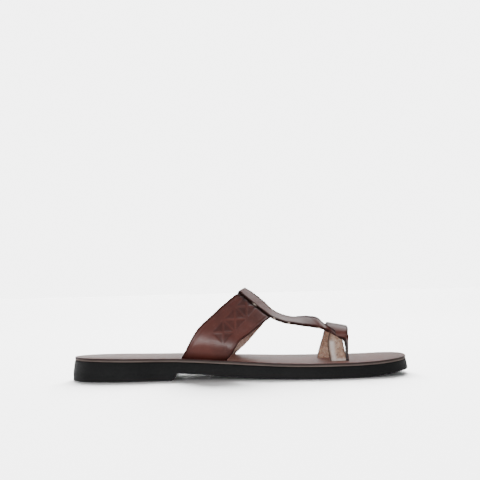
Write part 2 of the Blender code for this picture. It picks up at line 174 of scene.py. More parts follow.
# The toe ring, from its narrow medial leg over the toe to its lateral leg
RING_ROWS = (
    # rear_reach, rear_side, rear_climb, front_reach, front_side, front_climb
    (0.94, -1.20, 0.000, 0.99, -0.72, 0.000),
    (0.93, -1.20, 0.170, 0.98, -0.72, 0.170),
    (0.90, -1.17, 0.360, 0.99, -0.74, 0.360),
    (0.84, -1.12, 0.520, 0.99, -0.82, 0.520),
    (0.70, -1.06, 0.610, 0.98, -0.92, 0.600),
    (0.36, -1.02, 0.655, 0.97, -1.00, 0.660),
    (0.05, -0.98, 0.750, 0.95, -0.98, 0.720),
    (-0.12, -0.87, 0.830, 0.97, -0.87, 0.780),
    (-0.08, -0.68, 0.920, 0.99, -0.68, 0.840),
    (-0.03, -0.40, 0.985, 1.00, -0.40, 0.890),
    (0.00, 0.00, 1.010, 1.01, 0.00, 0.905),
    (0.00, 0.36, 0.960, 1.00, 0.36, 0.870),
    (-0.01, 0.64, 0.870, 0.98, 0.64, 0.790),
    (-0.05, 0.86, 0.740, 0.93, 0.86, 0.670),
    (-0.13, 0.97, 0.560, 0.86, 0.97, 0.520),
    (-0.27, 1.00, 0.320, 0.74, 1.00, 0.310),
    (-0.37, 1.00, 0.140, 0.64, 1.00, 0.140),
    (-0.43, 1.00, 0.000, 0.57, 1.00, 0.000),
)

# The tongue inside the ring's medial side, from its foot upwards
TONGUE_ROWS = (
    # rear_reach, front_reach, side, climb
    (0.06, 0.86, -1.030, 0.000),
    (0.00, 0.81, -1.015, 0.180),
    (-0.04, 0.74, -0.975, 0.370),
    (-0.03, 0.70, -0.930, 0.540),
    (0.02, 0.68, -0.890, 0.660),
    (0.08, 0.66, -0.860, 0.740),
    (0.12, 0.64, -0.800, 0.800),
)

# Squares pressed into each side of the band, one above the other along its rear edge, each
# crossed by its diagonals: middle of each, seen from the side, in millimetres
TOOLED_SQUARES = (
    # forward, height
    (-13.0, 38.3),
    (-3.1, 48.3),
    (6.6, 58.3),
)
SQUARE_HALF = 9.9
SQUARE_LINE = 0.9

# Raw spots where the dye has rubbed off the strap's near cut edge, in millimetres
EDGE_SPOTS = (
    # forward, half_length
    (13.8, 1.1),
    (29.7, 0.8),
    (41.5, 0.8),
    (65.8, 1.0),
)

# Strength of the backdrop and of the light that falls on the floor alone
BACKDROP_GLOW = 5.4
FLOOR_LIGHT = 34.0

# Brightness of what the sandal reflects
FRONT_WALL = 1.0
BACK_WALL_HEEL = 3.5
BACK_WALL_TOE = 1.5
CEILING = 0.16
FLOOR_GLOW = 0.35

HEEL_LIFT = HEEL_BLOCK_HEIGHT + PIECE_GAP
INSOLE_UNDER = OUTSOLE_THICKNESS + PIECE_GAP
INSOLE_TOP = INSOLE_UNDER + INSOLE_THICKNESS
HEEL_BACK = -SOLE_LENGTH / 2
HEEL_BREAST = HEEL_BACK + HEEL_BLOCK_LENGTH


def hex_colour(text, alpha=True):
    """Linear colour of an sRGB hex value."""
    values = [int(text[i:i + 2], 16) / 255 for i in (1, 3, 5)]
    linear = [v / 12.92 if v <= 0.04045 else ((v + 0.055) / 1.055) ** 2.4 for v in values]
    return (*linear, 1.0) if alpha else tuple(linear)


def grey(value):
    return (value, value, value, 1.0)


def mix(low, high, share):
    return low + (high - low) * share


def spline_point(before, start, end, after, t):
    """Catmull-Rom point between start and end, column by column."""
    return [0.5 * (2 * b + (c - a) * t + (2 * a - 5 * b + 4 * c - d) * t * t
                   + (3 * b - a - 3 * c + d) * t ** 3)
            for a, b, c, d in zip(before, start, end, after)]


def smooth_rows(rows, steps):
    last = len(rows) - 1
    out = []
    for i in range(last):
        around = [rows[min(max(i + k, 0), last)] for k in (-1, 0, 1, 2)]
        out += [spline_point(*around, s / steps) for s in range(steps)]
    return out + [list(rows[last])]


def smooth_loop(rows, steps):
    count = len(rows)
    out = []
    for i in range(count):
        around = [rows[(i + k) % count] for k in (-1, 0, 1, 2)]
        out += [spline_point(*around, s / steps) for s in range(steps)]
    return out


def table_value(table, column, along):
    for low, high in zip(table, table[1:]):
        if along <= high[0]:
            share = max(0.0, (along - low[0]) / (high[0] - low[0]))
            return mix(low[column], high[column], share)
    return table[-1][column]


def share_ahead(x):
    return (x - HEEL_BREAST) / (SOLE_LENGTH - HEEL_BLOCK_LENGTH)


def seat_fall_at(x):
    return HEEL_SEAT_FALL * min(1.0, (x - HEEL_BACK) / HEEL_BLOCK_LENGTH)


def rise_at(x):
    ahead = share_ahead(x)
    lift = HEEL_LIFT - seat_fall_at(x)
    return table_value(SOLE_RISE, 1, ahead) * lift + table_value(SOLE_RISE, 2, ahead) * TOE_SPRING


def thinning_at(x):
    return table_value(SOLE_RISE, 3, share_ahead(x)) * TOE_THINNING


def insole_top(x):
    return rise_at(x) + INSOLE_TOP


CAD_STEPS = 6
SIDES = [h * HEEL_WIDTH + b * BALL_WIDTH for _along, h, b in smooth_loop(OUTLINE, CAD_STEPS)]
MIDDLE_LINE = -(min(SIDES) + max(SIDES)) / 2


def sole_outline(offset, steps=CAD_STEPS):
    """Points once round the sole, moved outwards by offset."""
    loop = [Vector((HEEL_BACK + a * SOLE_LENGTH, MIDDLE_LINE + h * HEEL_WIDTH + b * BALL_WIDTH))
            for a, h, b in smooth_loop(OUTLINE, steps)]
    out = []
    for i, point in enumerate(loop):
        ahead = (loop[(i + 1) % len(loop)] - loop[i - 1]).normalized()
        out.append(point + Vector((ahead.y, -ahead.x)) * offset)
    return out


def side_at(x, side):
    loop = sole_outline(-INSOLE_INSET)
    crossings = [mix(a.y, b.y, (x - a.x) / (b.x - a.x))
                 for a, b in zip(loop, loop[1:] + loop[:1])
                 if a.x != b.x and min(a.x, b.x) <= x <= max(a.x, b.x)]
    return max(crossings) if side > 0 else min(crossings)


FEET = {}


def band_foot(side, share):
    """Point on the insole where the band's outer face goes in."""
    if (side, 0) not in FEET:
        reach = BAND_ROWS[0] if side < 0 else BAND_ROWS[-1]
        rear = HEEL_BACK + BAND_REAR_FOOT + reach[2] * BAND_REAR_REACH
        front = HEEL_BACK + BAND_REAR_FOOT + BAND_FOOT_LENGTH + reach[4] * BAND_FRONT_REACH
        FEET[side, 0] = Vector((rear, side_at(rear, side) - side * SLIT_INSET))
        FEET[side, 1] = Vector((front, side_at(front, side) - side * SLIT_INSET))
    place = FEET[side, 0].lerp(FEET[side, 1], share)
    return Vector((place.x, place.y, insole_top(place.x)))


def band_point(row, share):
    """Point of the band's outer face, share 0 at its rear edge to 1 at its front edge."""
    foot, crown, rear_reach, rear_climb, front_reach, front_climb, bow = row
    side = -1 if foot + crown < 0 else 1
    base = band_foot(side, share)
    middle = (band_foot(-1, share).z + band_foot(1, share).z) / 2
    rear = HEEL_BACK + BAND_REAR_FOOT + rear_reach * BAND_REAR_REACH
    front = HEEL_BACK + BAND_REAR_FOOT + BAND_FOOT_LENGTH + front_reach * BAND_FRONT_REACH
    climb = mix(rear_climb * BAND_REAR_HEIGHT, front_climb * BAND_FRONT_HEIGHT, share)
    bulge = bow * BAND_ROUND * 4 * share * (1 - share)
    seat = mix(base.z, middle, min(1.0, rear_climb))
    y = MIDDLE_LINE + foot * abs(base.y - MIDDLE_LINE) + crown * STRAP_WIDTH
    return Vector((mix(rear, front, share), y, seat + climb + bulge))


def ring_point(reach, side, climb):
    x = HEEL_BACK + RING_REAR + reach * RING_BAND
    y = MIDDLE_LINE - RING_TO_MEDIAL + side * RING_WIDTH / 2
    return Vector((x, y, insole_top(x) + climb * RING_HEIGHT))


def tails(grid, first=True, last=True, depth=INSOLE_THICKNESS):
    """A grid of rows with its feet carried straight down through the insole."""
    down = [Vector((0, 0, -depth * (i + 1) / TAIL_STEPS)) for i in range(TAIL_STEPS)]
    start = [[p + d for p in grid[0]] for d in reversed(down)] if first else []
    end = [[p + d for p in grid[-1]] for d in down] if last else []
    return start + grid + end


def band_grid(steps, columns):
    shares = [j / columns for j in range(columns + 1)]
    return tails([[band_point(row, s) for s in shares] for row in smooth_rows(BAND_ROWS, steps)])


def strap_grid(steps, columns):
    near, far = (BAND_ROWS[i] for i in CROWN_ROWS)
    top = BAND_ROWS[CROWN_ROWS[0] + 1]
    rows = [[band_point(row, share) + Vector((0, 0, LAP + STRAP_PROUD)) for row in (far, top, near)]
            for share in LAP_SHARES]
    start = rows[-1]
    span = HEEL_BACK + RING_REAR - start[1].x
    for along, far_side, far_drop, near_side, near_drop in STRAP_ROWS:
        x = start[1].x + along * span
        a = Vector((x, MIDDLE_LINE + far_side * STRAP_WIDTH, start[0].z - far_drop * STRAP_DROP))
        b = Vector((x, MIDDLE_LINE + near_side * STRAP_WIDTH, start[2].z - near_drop * STRAP_DROP))
        rows.append([a, (a + b) / 2 + Vector((0, 0, STRAP_CAMBER)), b])
    grid = []
    for row in smooth_rows([[c for point in row for c in point] for row in rows], steps):
        a, m, b = (Vector(row[k:k + 3]) for k in (0, 3, 6))
        shares = [j / columns for j in range(columns + 1)]
        grid.append([a * (2 * s - 1) * (s - 1) + m * 4 * s * (1 - s) + b * s * (2 * s - 1)
                     for s in shares])
    return grid


def ring_grid(steps, columns):
    grid = []
    for row in smooth_rows(RING_ROWS, steps):
        rear, front = ring_point(*row[:3]), ring_point(*row[3:])
        grid.append([rear.lerp(front, j / columns) for j in range(columns + 1)])
    return tails(grid)


def tongue_grid(steps, columns):
    grid = []
    for rear_reach, front_reach, side, climb in smooth_rows(TONGUE_ROWS, steps):
        rear, front = ring_point(rear_reach, side, climb), ring_point(front_reach, side, climb)
        grid.append([rear.lerp(front, j / columns) for j in range(columns + 1)])
    return tails(grid, last=False)


def grid_lengths(grid):
    """Millimetres along the rows' middle, and across each row."""
    middle = len(grid[0]) // 2
    along = [0.0]
    for low, high in zip(grid, grid[1:]):
        along.append(along[-1] + (high[middle] - low[middle]).length / MM)
    across = []
    for row in grid:
        line = [0.0]
        for a, b in zip(row, row[1:]):
            line.append(line[-1] + (b - a).length / MM)
        across.append(line)
    return along, across


def grid_normals(grid):
    rows, columns = len(grid), len(grid[0])
    out = []
    for i in range(rows):
        line = []
        for j in range(columns):
            ahead = grid[min(i + 1, rows - 1)][j] - grid[max(i - 1, 0)][j]
            aside = grid[i][min(j + 1, columns - 1)] - grid[i][max(j - 1, 0)]
            line.append(aside.cross(ahead).normalized())
        out.append(line)
    return out


def soft(value, width):
    """Smooth bump that is 1 at 0 and falls off over width."""
    return math.exp(-(value / width) ** 2)


def pressed_quarters(forward, height):
    """How far a point lies inside a pressed quarter of a tooled square, from 0 to 1."""
    press = 0.0
    for middle_forward, middle_height in TOOLED_SQUARES:
        a, b = abs(forward - middle_forward), abs(height - middle_height)
        inside = min(a - SQUARE_LINE, b - SQUARE_LINE, (SQUARE_HALF - SQUARE_LINE - a - b) / math.sqrt(2))
        press = max(press, min(1.0, max(0.0, inside / 0.55 + 0.5)))
    return press


def select_only(item):
    if bpy.context.mode != "OBJECT":
        bpy.ops.object.mode_set(mode="OBJECT")
    bpy.ops.object.select_all(action="DESELECT")
    item.select_set(True)
    bpy.context.view_layer.objects.active = item


def apply_all(item):
    select_only(item)
    for name in [m.name for m in item.modifiers]:
        bpy.ops.object.modifier_apply(modifier=name)


def leather_sheet(name, grid, relief, materials, wall, rim_round):
    """A grid primitive laid on a table's surface, given its wall and edges. The relief gives the
    lift of each point in millimetres, how tooled it is, how far it is darkened by real glue and dye
    marks and by painted shade and shadow, how pale it is at undyed spots and with painted light, and
    how far it is darkened with painted shade at the band's feet and along the tongue's edges."""
    rows, columns = len(grid), len(grid[0])
    bpy.ops.object.select_all(action="DESELECT")
    bpy.ops.mesh.primitive_grid_add(x_subdivisions=columns - 1, y_subdivisions=rows - 1, size=2)
    item = bpy.context.object
    item.name = item.data.name = name
    mesh = item.data
    along, across = grid_lengths(grid)
    normals = grid_normals(grid)
    marks = {"tooled": [], "rim": [], "stain": [], "pale": [], "soil": []}
    places = []
    for vert in mesh.vertices:
        i = round((vert.co.y + 1) / 2 * (rows - 1))
        j = round((vert.co.x + 1) / 2 * (columns - 1))
        u, v, width = along[i], across[i][j], across[i][-1]
        places.append((u / 100, v / 100))
        lift, press, stain, pale, soil = relief(grid[i][j] / MM, u, v, width, along[-1])
        vert.co = grid[i][j] + normals[i][j] * lift * MM
        marks["tooled"].append(press)
        marks["rim"].append(soft(min(v, width - v), 1.6))
        marks["stain"].append(stain)
        marks["pale"].append(pale)
        marks["soil"].append(soil)
    for key, values in marks.items():
        mesh.attributes.new(key, "FLOAT", "POINT").data.foreach_set("value", values)
    layer = mesh.uv_layers[0].data
    for loop in mesh.loops:
        layer[loop.index].uv = places[loop.vertex_index]
    for material in materials:
        mesh.materials.append(material)
    solid = item.modifiers.new("wall", "SOLIDIFY")
    solid.thickness = wall
    solid.offset = -1
    solid.use_even_offset = True
    solid.use_quality_normals = True
    solid.material_offset = 1
    solid.material_offset_rim = 2
    edge = item.modifiers.new("rounded cut edge", "BEVEL")
    edge.width = rim_round
    edge.segments = 2
    edge.limit_method = "ANGLE"
    edge.angle_limit = math.radians(55)
    edge.material = 2
    apply_all(item)
    bpy.ops.object.shade_smooth_by_angle(angle=math.radians(42))
    return item


def finish_piece(item, slot, *nodes):
    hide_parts(*nodes)
    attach(item, "root")


def sole_slab(name, outlines, heights):
    """A circle primitive set on the sole's outline and extruded up through the given rings."""
    count = len(outlines[0])
    bpy.ops.object.select_all(action="DESELECT")
    bpy.ops.mesh.primitive_circle_add(vertices=count, radius=1, fill_type="NGON")
    item = bpy.context.object
    item.name = item.data.name = name
    for vert, point in zip(item.data.vertices, reversed(outlines[0])):
        vert.co = (point.x, point.y, heights[0])
    bpy.ops.object.mode_set(mode="EDIT")
    bpy.ops.mesh.select_all(action="SELECT")
    rises = [b - a for a, b in zip(heights, heights[1:])]
    for rise in rises:
        bpy.ops.mesh.extrude_region_move(TRANSFORM_OT_translate={"value": (0, 0, rise)})
    bpy.ops.object.mode_set(mode="OBJECT")
    keys = {(round(p.x, 6), round(p.y, 6)): k for k, p in enumerate(outlines[0])}
    for vert in item.data.vertices:
        k = keys[round(vert.co.x, 6), round(vert.co.y, 6)]
        ring = min(range(len(heights)), key=lambda n: abs(heights[n] - vert.co.z))
        vert.co.x, vert.co.y = outlines[ring][k]
    bpy.ops.object.mode_set(mode="EDIT")
    bpy.ops.mesh.select_all(action="SELECT")
    bpy.ops.mesh.normals_make_consistent(inside=False)
    bpy.ops.object.mode_set(mode="OBJECT")
    return item


def ease_rims(item, width, segments):
    edge = item.modifiers.new("eased rims", "BEVEL")
    edge.width = width
    edge.segments = segments
    edge.limit_method = "ANGLE"
    edge.angle_limit = math.radians(40)
    apply_all(item)


def cut_across(item, stations):
    """Cuts a piece across at each station along the sole."""
    select_only(item)
    bpy.ops.object.mode_set(mode="EDIT")
    for x in stations:
        bpy.ops.mesh.select_all(action="SELECT")
        bpy.ops.mesh.bisect(plane_co=(x, 0, 0), plane_no=(1, 0, 0))
    bpy.ops.object.mode_set(mode="OBJECT")


def stations_between(start, end, pitch):
    count = max(1, round((end - start) / pitch))
    return [mix(start, end, i / count) for i in range(count + 1)]


def add(tree, kind, inputs=(), **settings):
    """Adds one node with its settings, socket values and links, a link being (node, output)."""
    item = tree.nodes.new(kind)
    for key, value in settings.items():
        setattr(item, key, value)
    for key, value in dict(inputs).items():
        if isinstance(value, tuple) and isinstance(value[0], bpy.types.Node):
            tree.links.new(value[0].outputs[value[1]], item.inputs[key])
        else:
            item.inputs[key].default_value = value
    return item


def new_material(name):
    """A material with its Principled shader, and the object's own coordinates."""
    material = bpy.data.materials.new(name)
    material.use_nodes = True
    tree = material.node_tree
    shader = tree.nodes["Principled BSDF"]
    place = add(tree, "ShaderNodeTexCoord")
    return material, tree, shader, place


def grain_leather(name, dark, light, patch, roughness):
    """Vegetable-tanned cowhide, drum dyed brown, waxed and rubbed: fine pores, soft clouds of
    colour, a low gloss that breaks up, and darker burnished rims and pressed lines."""
    material, tree, shader, place = new_material(name)
    where = (place, "Object")
    # clouds of dye some 22 mm across
    cloud = add(tree, "ShaderNodeTexNoise", {"Vector": where, "Scale": 45.0, "Detail": 3.0})
    # streaks and rubbed spots some 3 mm across
    fleck = add(tree, "ShaderNodeTexNoise", {"Vector": where, "Scale": 330.0, "Detail": 5.0, "Roughness": 0.62})
    # pores 0.6 mm apart
    pore = add(tree, "ShaderNodeTexVoronoi", {"Vector": where, "Scale": 1600.0}, feature="F1")
    cloud_share = add(tree, "ShaderNodeMapRange", {"Value": (cloud, "Fac"), "From Min": 0.35, "From Max": 0.68})
    base = add(tree, "ShaderNodeMix", {0: (cloud_share, "Result"), 6: dark, 7: light}, data_type="RGBA")
    fleck_share = add(tree, "ShaderNodeMapRange", {"Value": (fleck, "Fac"), "From Min": 0.52, "From Max": 0.80, "To Max": 0.35})
    rubbed = add(tree, "ShaderNodeMix", {0: (fleck_share, "Result"), 6: (base, 2), 7: patch}, data_type="RGBA")
    rim = add(tree, "ShaderNodeAttribute", attribute_name="rim")
    rim_share = add(tree, "ShaderNodeMath", {0: (rim, "Fac"), 1: 0.75}, operation="MULTIPLY")
    burnished = add(tree, "ShaderNodeMix", {0: (rim_share, "Value"), 6: (rubbed, 2), 7: hex_colour("#22100E")}, data_type="RGBA")
    pressed = add(tree, "ShaderNodeAttribute", attribute_name="tooled")
    press_share = add(tree, "ShaderNodeMath", {0: (pressed, "Fac"), 1: 0.36}, operation="MULTIPLY")
    tooled = add(tree, "ShaderNodeMix", {0: (press_share, "Value"), 6: (burnished, 2), 7: hex_colour("#2A1210")}, data_type="RGBA")
    # Darker and duller where the piece's marks say: partly real glue and dye marks, partly painted shade and painted
    # shadow
    stain = add(tree, "ShaderNodeAttribute", attribute_name="stain")
    stain_and_shade_share = add(tree, "ShaderNodeMath", {0: (stain, "Fac"), 1: 0.85}, operation="MULTIPLY")
    stained_and_shaded = add(tree, "ShaderNodeMix", {0: (stain_and_shade_share, "Value"), 6: (tooled, 2), 7: hex_colour("#1C0E0C")}, data_type="RGBA")
    tree.links.new(stained_and_shaded.outputs[2], shader.inputs["Base Color"])
    dull = add(tree, "ShaderNodeMath", {0: (rim, "Fac"), 1: (stain, "Fac")}, operation="MAXIMUM")
    gloss = add(tree, "ShaderNodeMapRange", {"Value": (dull, "Value"), "To Min": 0.5, "To Max": 0.08})
    tree.links.new(gloss.outputs["Result"], shader.inputs["Specular IOR Level"])
    coat = add(tree, "ShaderNodeMapRange", {"Value": (dull, "Value"), "To Min": 0.5, "To Max": 0.0})
    tree.links.new(coat.outputs["Result"], shader.inputs["Coat Weight"])
    rough = add(tree, "ShaderNodeMapRange", {"Value": (fleck, "Fac"), "From Min": 0.3, "From Max": 0.75, "To Min": roughness - 0.07, "To Max": roughness + 0.12})
    tree.links.new(rough.outputs["Result"], shader.inputs["Roughness"])
    pores = add(tree, "ShaderNodeBump", {"Height": (pore, "Distance"), "Strength": 0.25, "Distance": 0.00012})
    waves = add(tree, "ShaderNodeBump", {"Height": (fleck, "Fac"), "Strength": 0.35, "Distance": 0.0003, "Normal": (pores, "Normal")})
    tree.links.new(waves.outputs["Normal"], shader.inputs["Normal"])
    shader.inputs["IOR"].default_value = 1.5
    shader.inputs["Coat Roughness"].default_value = 0.3
    return material


def flesh_leather(name, dark, light, pale):
    """The flesh side of the hide, left undyed: tan, matt, fibrous and blotched."""
    material, tree, shader, place = new_material(name)
    where = (place, "Object")
    # loose fibres 0.5 mm thick, drawn coarser than life so they show
    fibre = add(tree, "ShaderNodeTexNoise", {"Vector": where, "Scale": 900.0, "Detail": 6.0, "Roughness": 0.7})
    # blotches of about 3 mm
    blotch = add(tree, "ShaderNodeTexNoise", {"Vector": where, "Scale": 330.0, "Detail": 4.0, "Roughness": 0.6})
    blotch_share = add(tree, "ShaderNodeMapRange", {"Value": (blotch, "Fac"), "From Min": 0.36, "From Max": 0.66})
    base = add(tree, "ShaderNodeMix", {0: (blotch_share, "Result"), 6: dark, 7: light}, data_type="RGBA")
    fibre_share = add(tree, "ShaderNodeMapRange", {"Value": (fibre, "Fac"), "From Min": 0.5, "From Max": 0.7, "To Max": 0.75})
    fibrous = add(tree, "ShaderNodeMix", {0: (fibre_share, "Result"), 6: (base, 2), 7: pale}, data_type="RGBA")
    # Paler where the pale mark says: painted light on the band's far half and along the tongue's foot, and a paler
    # strip on the tongue's upper part
    raw_and_painted_light = add(tree, "ShaderNodeAttribute", attribute_name="pale")
    bare_and_painted_light = add(tree, "ShaderNodeMix", {0: (raw_and_painted_light, "Fac"), 6: (fibrous, 2), 7: hex_colour("#FFF2EA")}, data_type="RGBA")
    # Darker where the next mark says: painted shade at the band's feet, and dark lines along the tongue's edges
    soil = add(tree, "ShaderNodeAttribute", attribute_name="soil")
    colour = add(tree, "ShaderNodeMix", {0: (soil, "Fac"), 6: (bare_and_painted_light, 2), 7: hex_colour("#2E1A16")}, data_type="RGBA")
    tree.links.new(colour.outputs[2], shader.inputs["Base Color"])
    fuzz = add(tree, "ShaderNodeBump", {"Height": (fibre, "Fac"), "Strength": 0.6, "Distance": 0.0004})
    tree.links.new(fuzz.outputs["Normal"], shader.inputs["Normal"])
    shader.inputs["Roughness"].default_value = 0.85
    shader.inputs["Sheen Weight"].default_value = 0.15
    shader.inputs["Sheen Roughness"].default_value = 0.5
    shader.inputs["Specular IOR Level"].default_value = 0.3
    return material


def edge_leather(name, dark, light):
    """Cut edge of the hide, dyed and rubbed with wax: dark, with flattened fibre layers."""
    material, tree, shader, place = new_material(name)
    where = (place, "Object")
    # fibre layers 0.4 mm deep and some 2 mm long
    stretch = add(tree, "ShaderNodeMapping", {"Vector": where, "Scale": (0.3, 0.3, 1.0)})
    layer = add(tree, "ShaderNodeTexNoise", {"Vector": (stretch, "Vector"), "Scale": 1500.0, "Detail": 4.0, "Roughness": 0.65})
    share = add(tree, "ShaderNodeMapRange", {"Value": (layer, "Fac"), "From Min": 0.42, "From Max": 0.78})
    fibres = add(tree, "ShaderNodeMix", {0: (share, "Result"), 6: dark, 7: light}, data_type="RGBA")
    # Paler where the pale mark says: undyed spots on the strap's near cut edge, and painted light near the tongue's
    # foot
    raw_and_painted_light = add(tree, "ShaderNodeAttribute", attribute_name="pale")
    colour = add(tree, "ShaderNodeMix", {0: (raw_and_painted_light, "Fac"), 6: (fibres, 2), 7: hex_colour("#E2D2C4")}, data_type="RGBA")
    tree.links.new(colour.outputs[2], shader.inputs["Base Color"])
    bump = add(tree, "ShaderNodeBump", {"Height": (layer, "Fac"), "Strength": 0.5, "Distance": 0.0003})
    tree.links.new(bump.outputs["Normal"], shader.inputs["Normal"])
    shader.inputs["Roughness"].default_value = 0.5
    return material


def insole_leather(name, dark, light, patch):
    """Bridle butt for the insole, dyed brown and glazed: smooth, glossy at a low angle, mottled
    by handling and scuffed along the sole."""
    material, tree, shader, place = new_material(name)
    where = (place, "Object")
    # mottling of 3 mm
    mottle = add(tree, "ShaderNodeTexNoise", {"Vector": where, "Scale": 330.0, "Detail": 5.0, "Roughness": 0.6})
    # clouds of 35 mm
    cloud = add(tree, "ShaderNodeTexNoise", {"Vector": where, "Scale": 28.0, "Detail": 2.0})
    # scuffs 1 mm wide and 8 mm long along the sole
    stretch = add(tree, "ShaderNodeMapping", {"Vector": where, "Scale": (0.125, 1.0, 1.0)})
    scuff = add(tree, "ShaderNodeTexNoise", {"Vector": (stretch, "Vector"), "Scale": 1000.0, "Detail": 3.0})
    # pores 0.8 mm apart
    pore = add(tree, "ShaderNodeTexVoronoi", {"Vector": where, "Scale": 1250.0}, feature="F1")
    cloud_share = add(tree, "ShaderNodeMapRange", {"Value": (cloud, "Fac"), "From Min": 0.35, "From Max": 0.65})
    base = add(tree, "ShaderNodeMix", {0: (cloud_share, "Result"), 6: dark, 7: light}, data_type="RGBA")
    mottle_share = add(tree, "ShaderNodeMapRange", {"Value": (mottle, "Fac"), "From Min": 0.46, "From Max": 0.78, "To Max": 0.55})
    colour = add(tree, "ShaderNodeMix", {0: (mottle_share, "Result"), 6: (base, 2), 7: patch}, data_type="RGBA")
    tree.links.new(colour.outputs[2], shader.inputs["Base Color"])
    rough = add(tree, "ShaderNodeMapRange", {"Value": (mottle, "Fac"), "From Min": 0.3, "From Max": 0.72, "To Min": 0.38, "To Max": 0.58})
    tree.links.new(rough.outputs["Result"], shader.inputs["Roughness"])
    pores = add(tree, "ShaderNodeBump", {"Height": (pore, "Distance"), "Strength": 0.2, "Distance": 0.0001})
    waves = add(tree, "ShaderNodeBump", {"Height": (mottle, "Fac"), "Strength": 0.8, "Distance": 0.0006, "Normal": (pores, "Normal")})
    scuffs = add(tree, "ShaderNodeBump", {"Height": (scuff, "Fac"), "Strength": 0.15, "Distance": 0.0001, "Normal": (waves, "Normal")})
    tree.links.new(scuffs.outputs["Normal"], shader.inputs["Normal"])
    shader.inputs["Specular IOR Level"].default_value = 0.5
    shader.inputs["Coat Weight"].default_value = 0.05
    shader.inputs["Coat Roughness"].default_value = 0.35
    return material


def insole_edge_leather(name, dark, light, line):
    """Trimmed edge of the insole: burnished dark over its upper part, grey-brown fibres below."""
    material, tree, shader, place = new_material(name)
    where = (place, "Object")
    # layers 0.8 mm deep and some 25 mm long
    stretch = add(tree, "ShaderNodeMapping", {"Vector": where, "Scale": (0.03, 0.03, 1.0)})
    layer = add(tree, "ShaderNodeTexNoise", {"Vector": (stretch, "Vector"), "Scale": 1200.0, "Detail": 4.0})
    share = add(tree, "ShaderNodeMapRange", {"Value": (layer, "Fac"), "From Min": 0.35, "From Max": 0.7})
    base = add(tree, "ShaderNodeMix", {0: (share, "Result"), 6: dark, 7: light}, data_type="RGBA")
    up = add(tree, "ShaderNodeAttribute", attribute_name="up")
    top = add(tree, "ShaderNodeMapRange", {"Value": (up, "Fac"), "From Min": 0.9, "From Max": 1.5})
    colour = add(tree, "ShaderNodeMix", {0: (top, "Result"), 6: (base, 2), 7: line}, data_type="RGBA")
    tree.links.new(colour.outputs[2], shader.inputs["Base Color"])
    bump = add(tree, "ShaderNodeBump", {"Height": (layer, "Fac"), "Strength": 0.4, "Distance": 0.0003})
    tree.links.new(bump.outputs["Normal"], shader.inputs["Normal"])
    shader.inputs["Roughness"].default_value = 0.6
    return material


def moulded_rubber(name, dark, light, lines):
    """Black vulcanised rubber, buffed at its sides: matt, finely speckled, with faint lines where
    the lifts were pressed together."""
    material, tree, shader, place = new_material(name)
    where = (place, "Object")
    # speckle of 0.9 mm
    speck = add(tree, "ShaderNodeTexNoise", {"Vector": where, "Scale": 1100.0, "Detail": 4.0, "Roughness": 0.6})
    # dusty bloom of 30 mm
    bloom = add(tree, "ShaderNodeTexNoise", {"Vector": where, "Scale": 33.0, "Detail": 3.0})
    share = add(tree, "ShaderNodeMapRange", {"Value": (bloom, "Fac"), "From Min": 0.35, "From Max": 0.7})
    base = add(tree, "ShaderNodeMix", {0: (share, "Result"), 6: dark, 7: light}, data_type="RGBA")
    tree.links.new(base.outputs[2], shader.inputs["Base Color"])
    # buffing lines 1.2 mm apart
    wave = add(tree, "ShaderNodeTexWave", {"Vector": where, "Scale": 260.0, "Distortion": 0.6}, wave_type="BANDS", bands_direction="Z")
    fine = add(tree, "ShaderNodeBump", {"Height": (speck, "Fac"), "Strength": 0.35, "Distance": 0.0002})
    layered = add(tree, "ShaderNodeBump", {"Height": (wave, "Fac"), "Strength": lines, "Distance": 0.0002, "Normal": (fine, "Normal")})
    tree.links.new(layered.outputs["Normal"], shader.inputs["Normal"])
    rough = add(tree, "ShaderNodeMapRange", {"Value": (speck, "Fac"), "From Min": 0.3, "From Max": 0.7, "To Min": 0.55, "To Max": 0.75})
    tree.links.new(rough.outputs["Result"], shader.inputs["Roughness"])
    shader.inputs["Specular IOR Level"].default_value = 0.32
    return material


def studio_floor(name, colour):
    """Matt white paper."""
    material, tree, shader, place = new_material(name)
    shader.inputs["Base Color"].default_value = colour
    shader.inputs["Roughness"].default_value = 0.9
    shader.inputs["Specular IOR Level"].default_value = 0.1
    return material


def lit_backdrop(name, glow):
    """Evenly lit white paper far behind the floor."""
    material, tree, shader, place = new_material(name)
    shader.inputs["Base Color"].default_value = (0.0, 0.0, 0.0, 1.0)
    shader.inputs["Specular IOR Level"].default_value = 0.0
    shader.inputs["Emission Color"].default_value = (1.0, 1.0, 1.0, 1.0)
    shader.inputs["Emission Strength"].default_value = glow
    return material


